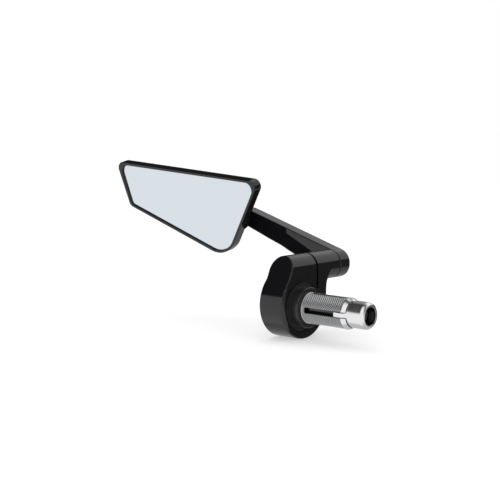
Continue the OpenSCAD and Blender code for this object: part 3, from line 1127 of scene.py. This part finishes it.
@dataclass
class MirrorHead:
    """Slim frame with its recessed glass, socket boss and hidden cup."""

    ball: Place = (-77.6, 27.6, 42.4)
    tilt: float = 12.0
    corners: tuple[Pair, ...] = (
        (-89.6, 34.1),
        (28.8, 25.35),
        (-4.6, -23.8),
        (-83.3, 5.3),
    )
    radii: tuple[float, ...] = (4.5, 4.2, 17.0, 4.0)
    glass_radii: tuple[float, ...] = (5.0, 4.4, 15.5, 2.8)
    pocket_shift: Pair = (0.8, -0.4)
    rim_w: float = 1.5
    rim_y: float = -9.75
    back_y: float = -3.75
    glass_y: float = -8.55
    glass_t: float = 1.6
    glass_gap: float = 0.15
    floor_y: float = -6.45
    ring_r: float = 6.7
    ring_t: float = 1.1
    cup_r: float = 5.45
    cup_back: float = -1.05
    seat_r: float = 4.92
    socket_r: float = 7.8
    socket_y: float = 2.2
    mouth_r: float = 4.9
    mouth_step: Pair = (4.35, 0.35)
    mouth_depth: float = 0.8
    edge: float = 0.45
    lip: float = 0.22
    socket_fillet: float = 0.6
    socket_round: float = 0.8
    glass_edge: float = 0.2

    def _ring(self, corners: Points, radii: Sequence[float]) -> Points:
        """Points of an outline, the same count and order for any corners.

        Args:
            corners: The outline's corners.
            radii: Its corner radii.

        Returns:
            The ring's points as (x, z) rows.
        """
        n = len(corners)
        curves = [
            corner_arc(corners[i - 1], corners[i], corners[(i + 1) % n], max(radii[i], 0.05), 16)
            for i in range(n)
        ]
        out = []
        for i, curve in enumerate(curves):
            ahead = curves[(i + 1) % n][0]
            out += [curve, curve[-1] + (ahead - curve[-1]) * self._shares(i)[:, None]]
        return np.vstack(out)

    def _shares(self, side: int) -> np.ndarray:
        """Where the points of one side lie along it, even in angle about the ball."""
        base = np.array(self.corners)
        p, q = base[side], base[(side + 1) % len(base)]
        turn = math.remainder(math.atan2(q[1], q[0]) - math.atan2(p[1], p[0]), math.tau)
        steps = max(3, math.ceil(abs(turn) / math.radians(4)))
        a = math.atan2(p[1], p[0]) + turn * np.arange(1, steps) / steps
        e = q - p
        return (p[1] * np.cos(a) - p[0] * np.sin(a)) / (e[0] * np.sin(a) - e[1] * np.cos(a))

    def _outer(self, depth: float) -> Points:
        """Outer outline moved inward by depth."""
        return self._ring(inset_corners(np.array(self.corners), depth), [r - depth for r in self.radii])

    def _pocket(self, depth: float) -> Points:
        """Pocket outline moved inward by depth."""
        corners = inset_corners(np.array(self.corners), self.rim_w)
        corners[0] += self.pocket_shift
        return self._ring(inset_corners(corners, depth), [r - depth for r in self.glass_radii])

    def _circle(self, radius: float) -> Points:
        """A circle about the ball whose points face those of the outline."""
        base = self._outer(0)
        return radius * base / np.linalg.norm(base, axis=1)[:, None]

    def _at(self, ring: Points, y: float) -> Points:
        """Lifts a ring of (x, z) rows to a depth."""
        return np.column_stack((ring[:, 0], np.full(len(ring), y), ring[:, 1]))

    def _place(self) -> Matrix:
        """From the head's own axes to the frame."""
        lean = Matrix.Rotation(math.radians(self.tilt), 4, "X")
        return Matrix.Translation(Vector(self.ball) * MM) @ lean

    def _seat(self, y: float) -> float:
        """Radius of the ball's round seat at a depth."""
        return math.sqrt(self.seat_r**2 - y**2)

    def tray(self) -> Piece:
        """The frame: rim, pocket, seat for the cup and socket boss, in one closed skin."""
        e, lip = self.edge, self.lip
        r, b, wall = self.socket_fillet, self.socket_round, self.socket_r
        rings = [self._at(self._pocket(-lip * c), self.rim_y + lip * s) for s, c in quarter_round(5)]
        rings += [self._at(self._outer(e * s), self.rim_y + e * c) for s, c in quarter_round(6)]
        rings += [self._at(self._outer(e * c), self.back_y - e * s) for s, c in quarter_round(6)]
        rings += [self._at(self._circle(wall + r * s), self.back_y + r * c) for s, c in quarter_round(5)]
        rings += [self._at(self._circle(wall - b * c), self.socket_y - b * s) for s, c in quarter_round(6)]
        lip_y = self.socket_y - self.mouth_depth
        cup_y = self.floor_y + self.ring_t
        step_r, step_rise = self.mouth_step
        circles = [(self.mouth_r, self.socket_y), (step_r, lip_y + step_rise)]
        circles += [(self._seat(y), y) for y in np.linspace(lip_y, self.cup_back, 8)]
        circles += [(self.cup_r, self.cup_back), (self.cup_r, cup_y)]
        circles += [(self.ring_r, cup_y), (self.ring_r, self.floor_y)]
        rings += [self._at(self._circle(radius), y) for radius, y in circles]
        rings.append(self._at(self._pocket(0.0), self.floor_y))
        skin = loft("mirror_tray", np.array(rings), cyclic=True)
        return finished(skin, self._place())

    def glass(self) -> Piece:
        """The glass with a fine ground edge."""
        e, gap = self.glass_edge, self.glass_gap
        rings = [self._at(self._pocket(gap), self.glass_y + self.glass_t)]
        for s, c in reversed(quarter_round(4)):
            rings.append(self._at(self._pocket(gap + e * s), self.glass_y + e * c))
        return finished(loft("mirror_plate", np.array(rings)), self._place())

    def build(self) -> None:
        """Builds and dresses the head."""
        dress(self.tray(), BLACK_GLOSS, "head", "head_black", "mirror_frame")
        dress(self.glass(), MIRROR, "head", "mirror", "mirror_glass")
        repaint("ball_cup", CUP_POLYMER)
        repaint("retainer_ring", ZINC)
        repaint("glass_pad", FOAM)


# ---------------------------------------------------------------- studio


def plain_material(name: str, grey: float, glow: float = 0.0) -> bpy.types.Material:
    """A matt grey for staging, with a share of its own light."""
    made = bpy.data.materials.new(name)
    made.use_nodes = True
    shader = made.node_tree.nodes["Principled BSDF"]
    shader.inputs["Base Color"].default_value = (grey, grey, grey, 1)
    shader.inputs["Emission Color"].default_value = (1, 1, 1, 1)
    shader.inputs["Emission Strength"].default_value = glow
    shader.inputs["Roughness"].default_value = 1.0
    return made


@dataclass
class Surround:
    """White surround, in which gloss sees bright fields with dark bands between them.

    Each edge is where a field starts to rise and where it is full, along one axis of the
    direction looked in.  Axes: +X along the bar, +Y away from the rider, +Z up.
    """

    front_edge: Pair = (-0.35, 0.1)
    low_sky_edge: Pair = (0.24, 0.34)
    right_half_edge: Pair = (-0.45, -0.25)
    behind_edge: Pair = (0.2, 0.5)
    right_of_left_edge: Pair = (-0.62, -0.54)
    high_sky_edge: Pair = (0.27, 0.31)
    left_dim_edge: Pair = (-0.46, -0.34)
    left_dim: float = 0.58
    below_edge: Pair = (-0.45, -0.25)
    below_level: float = 0.58
    far_right_edge: Pair = (0.3, 0.6)
    far_right_rise: float = 0.08
    dark_level: float = 0.02
    nose_edge: Pair = (0.78, 0.86)
    nose_top_edge: Pair = (0.0, 0.1)

    def __post_init__(self) -> None:
        """Starts an empty world."""
        self.world = bpy.data.worlds.new("studio")
        self.world.use_nodes = True
        self.tree = self.world.node_tree
        self.tree.nodes.clear()

    def _math(self, kind: str, *values: Any) -> Socket:
        """One arithmetic node."""
        return add_node(self.tree, "ShaderNodeMath", dict(enumerate(values)), operation=kind).outputs[0]

    def _rise(self, value: Socket, edge: Pair) -> Socket:
        """Smooth rise from 0 to 1 over an edge."""
        ends = {"Value": value, "From Min": edge[0], "From Max": edge[1]}
        node = add_node(self.tree, "ShaderNodeMapRange", ends, interpolation_type="SMOOTHSTEP")
        return node.outputs["Result"]

    def _fall(self, value: Socket, edge: Pair) -> Socket:
        """Smooth fall from 1 to 0 over an edge."""
        return self._math("SUBTRACT", 1.0, self._rise(value, edge))

    def _level(self) -> Socket:
        """Brightness of the surround as gloss sees it."""
        place = add_node(self.tree, "ShaderNodeTexCoord", {}).outputs["Generated"]
        x, y, z = add_node(self.tree, "ShaderNodeSeparateXYZ", {0: place}).outputs
        low_sky, right_half = self._fall(z, self.low_sky_edge), self._rise(x, self.right_half_edge)
        low_or_right = self._math("MAXIMUM", low_sky, right_half)
        front = self._math("MULTIPLY", self._fall(y, self.front_edge), low_or_right)
        high = self._math("MULTIPLY", self._rise(y, self.behind_edge), self._rise(z, self.high_sky_edge))
        back = self._math("MULTIPLY", high, self._rise(x, self.right_of_left_edge))
        right = self._rise(x, self.left_dim_edge)
        dim = self._math("MULTIPLY_ADD", right, 1 - self.left_dim, self.left_dim)
        back = self._math("MULTIPLY", back, dim)
        below = self._math("MULTIPLY", self._fall(z, self.below_edge), self.below_level)
        side = self._rise(x, self.far_right_edge)
        side = self._math("MULTIPLY_ADD", side, self.far_right_rise, self.dark_level)
        ahead = self._math("MULTIPLY", self._rise(x, self.nose_edge), self._fall(z, self.nose_top_edge))
        level = front
        for field in (back, below, side, ahead):
            level = self._math("MAXIMUM", level, field)
        return level

    def build(self) -> None:
        """Lights the scene: gloss sees the fields and everything else sees plain white."""
        white = (1, 1, 1, 1)
        seen = add_node(self.tree, "ShaderNodeBackground", {"Color": white, "Strength": self._level()})
        plain = add_node(self.tree, "ShaderNodeBackground", {"Color": white})
        gloss = add_node(self.tree, "ShaderNodeLightPath", {}).outputs["Is Glossy Ray"]
        sides = {0: gloss, 1: plain.outputs[0], 2: seen.outputs[0]}
        both = add_node(self.tree, "ShaderNodeMixShader", sides)
        add_node(self.tree, "ShaderNodeOutputWorld", {"Surface": both.outputs[0]})
        bpy.context.scene.world = self.world


@dataclass
class Studio:
    """Floor, soft light, cards and camera."""

    azimuth: float = 41.85
    elevation: float = 6.82
    aim: Place = (-24.3, -21.4, 31.4)
    distance: float = 640.0
    lens: float = 85.74
    sensor: float = 36.0
    clip: Pair = (0.01, 100.0)
    floor_z: float = -17.95
    floor_size: float = 12000.0
    floor_grey: float = 0.56
    floor_glow: float = 0.46
    card_grey: float = 0.01
    arm_card_y: float = 32.3
    arm_card_top: tuple[Pair, ...] = ((-86, 52), (-47, 52), (-46.5, 34.5), (-28.2, 25.8))
    arm_card_low: tuple[Pair, ...] = ((-20, 22), (-19, 14), (-50.5, 27), (-86, 34))
    far_card_x: Pair = (-80, -42)
    far_card_y: float = 100.0
    far_card_z: Pair = (-7, 30)
    lamp_place: Place = (-300.0, 100.0, 900.0)
    lamp_size: float = 700.0
    lamp_power: float = 1.2

    def camera(self) -> None:
        """Long-lens camera, a little above the bar and to the right of the rider's side."""
        a, e = math.radians(self.azimuth), math.radians(self.elevation)
        back = Vector((math.sin(a) * math.cos(e), -math.cos(a) * math.cos(e), math.sin(e)))
        data = bpy.data.cameras.new("camera")
        data.lens = self.lens
        data.sensor_width = self.sensor
        data.clip_start, data.clip_end = self.clip
        cam = bpy.data.objects.new("camera", data)
        cam.location = (Vector(self.aim) + back * self.distance) * MM
        cam.rotation_euler = (math.pi / 2 - e, 0, a)
        bpy.context.scene.collection.objects.link(cam)
        bpy.context.scene.camera = cam

    def _sheet(self, name: str, corners: Sequence[Sequence[float]], look: bpy.types.Material) -> Piece:
        """A flat sheet of staging, given by its corners in order."""
        sheet = piece_from(name, np.array(corners, float), [range(len(corners))])
        sheet.data.materials.append(look)
        return sheet

    def floor(self) -> None:
        """Plain white floor, left out of reflections."""
        s, z = self.floor_size / 2, self.floor_z
        white = plain_material("floor_white", self.floor_grey, self.floor_glow)
        white.node_tree.nodes["Principled BSDF"].inputs["Specular IOR Level"].default_value = 0.0
        floor = self._sheet("floor", [(-s, -s, z), (s, -s, z), (s, s, z), (-s, s, z)], white)
        floor.visible_glossy = False

    def flags(self) -> None:
        """Cards that only gloss sees: they darken the arm's front face and the head's right side."""
        black = plain_material("card_black", self.card_grey)
        near, far = self.arm_card_y, self.far_card_y
        (x0, x1), (z0, z1) = self.far_card_x, self.far_card_z
        arm_card = [(x, near, z) for x, z in self.arm_card_top + self.arm_card_low]
        far_card = [(x0, far, z0), (x1, far, z0), (x1, far, z1), (x0, far, z1)]
        for name, corners in (("arm_card", arm_card), ("far_card", far_card)):
            card = self._sheet(name, corners, black)
            card.visible_camera = False
            card.visible_diffuse = False
            card.visible_transmission = False
            card.visible_shadow = False

    def lamp(self) -> None:
        """A large soft lamp overhead, aimed at the mirror."""
        data = bpy.data.lights.new("overhead_lamp", "AREA")
        data.shape = "DISK"
        data.size = self.lamp_size * MM
        data.energy = self.lamp_power
        obj = bpy.data.objects.new("overhead_lamp", data)
        place = Vector(self.lamp_place) * MM
        obj.location = place
        obj.rotation_euler = (Vector(self.aim) * MM - place).to_track_quat("-Z", "Y").to_euler()
        bpy.context.scene.collection.objects.link(obj)
        obj.visible_glossy = False

    def build(self) -> None:
        """Sets the whole stage."""
        bpy.context.scene.view_settings.view_transform = "Standard"
        self.camera()
        self.floor()
        Surround().build()
        self.flags()
        self.lamp()


def main() -> None:
    """Builds the mirror piece by piece and sets it on the stage."""
    logging.basicConfig(level=logging.INFO, format="%(name)s: %(message)s")
    Studio().build()
    BarPlug().build()
    SplitHub().build()
    Arm().build()
    MirrorHead().build()


if __name__ == "__main__":
    main()
